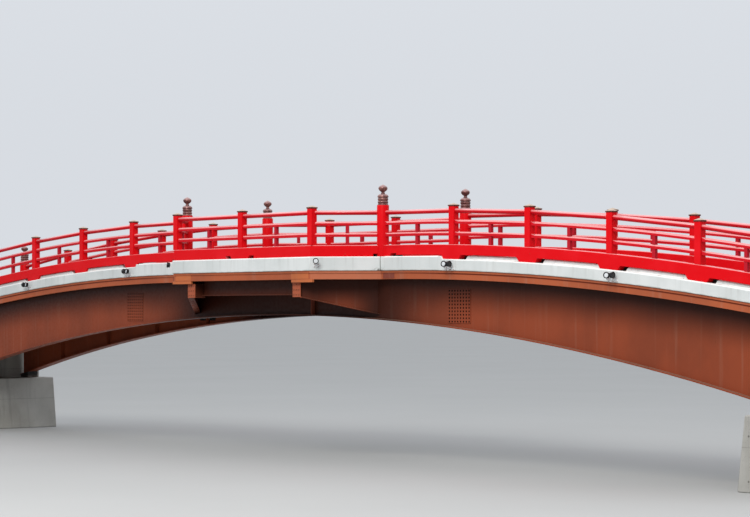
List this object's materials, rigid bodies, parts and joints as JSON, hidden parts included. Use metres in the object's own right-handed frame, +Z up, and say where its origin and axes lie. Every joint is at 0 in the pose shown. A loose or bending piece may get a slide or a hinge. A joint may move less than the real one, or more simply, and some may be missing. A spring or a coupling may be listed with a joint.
{
  "type": "arched footbridge",
  "caption": "Arched footbridge with a widened middle platform, red post and rail parapets with onion finials, arched brown plate girders and abutments.",
  "frame": {"origin": "middle of the bridge's footprint, on the level ground that the abutments stand on", "axes": "+X along the bridge, +Z up, -Y towards the side that faces the camera in the picture"},
  "size_m": [34.48, 5.4952, 6.617],
  "materials": {
    "concrete": "cast concrete",
    "rubber": "matte",
    "brown_steel": "satin brown paint",
    "paving": "concrete pavers",
    "white_paint": "masonry paint over concrete",
    "brown_fascia": "satin brown paint",
    "vermilion": "glossy vermilion lacquer on timber",
    "cap_metal": "weathered sheet metal",
    "bronze": "dark patinated bronze",
    "lamp_black": "matte black"
  },
  "bodies": {
    "root": {"abutment_left": "concrete", "abutment_right": "concrete", "bearings": "rubber", "main_girder_near": "brown_steel", "main_girder_far": "brown_steel", "cross_beams": "brown_steel", "outriggers": "brown_steel", "edge_beam_near": "brown_steel", "edge_beam_far": "brown_steel", "bracket_near_right": "brown_steel", "bracket_near_left": "brown_steel", "bracket_far_right": "brown_steel", "bracket_far_left": "brown_steel", "bracket_caps": "brown_steel", "vent_grilles": "brown_steel", "deck_slab": "concrete", "walkway_paving": "paving", "white_edge_near": "white_paint", "white_edge_far": "white_paint", "fascia_near": "brown_fascia", "fascia_far": "brown_fascia", "sill_near": "vermilion", "sill_far": "vermilion", "square_posts_near": "vermilion", "square_posts_far": "vermilion", "post_caps_near": "cap_metal", "post_caps_far": "cap_metal", "main_posts": "vermilion", "third_rail_near": "vermilion", "third_rail_far": "vermilion", "second_rail_near": "vermilion", "second_rail_far": "vermilion", "top_rail_near": "vermilion", "top_rail_far": "vermilion", "struts_near": "vermilion", "struts_far": "vermilion", "finial_sleeves": "bronze", "finials": "bronze", "spotlights_near": "lamp_black", "spotlights_far": "lamp_black"}
  },
  "joints": []
}
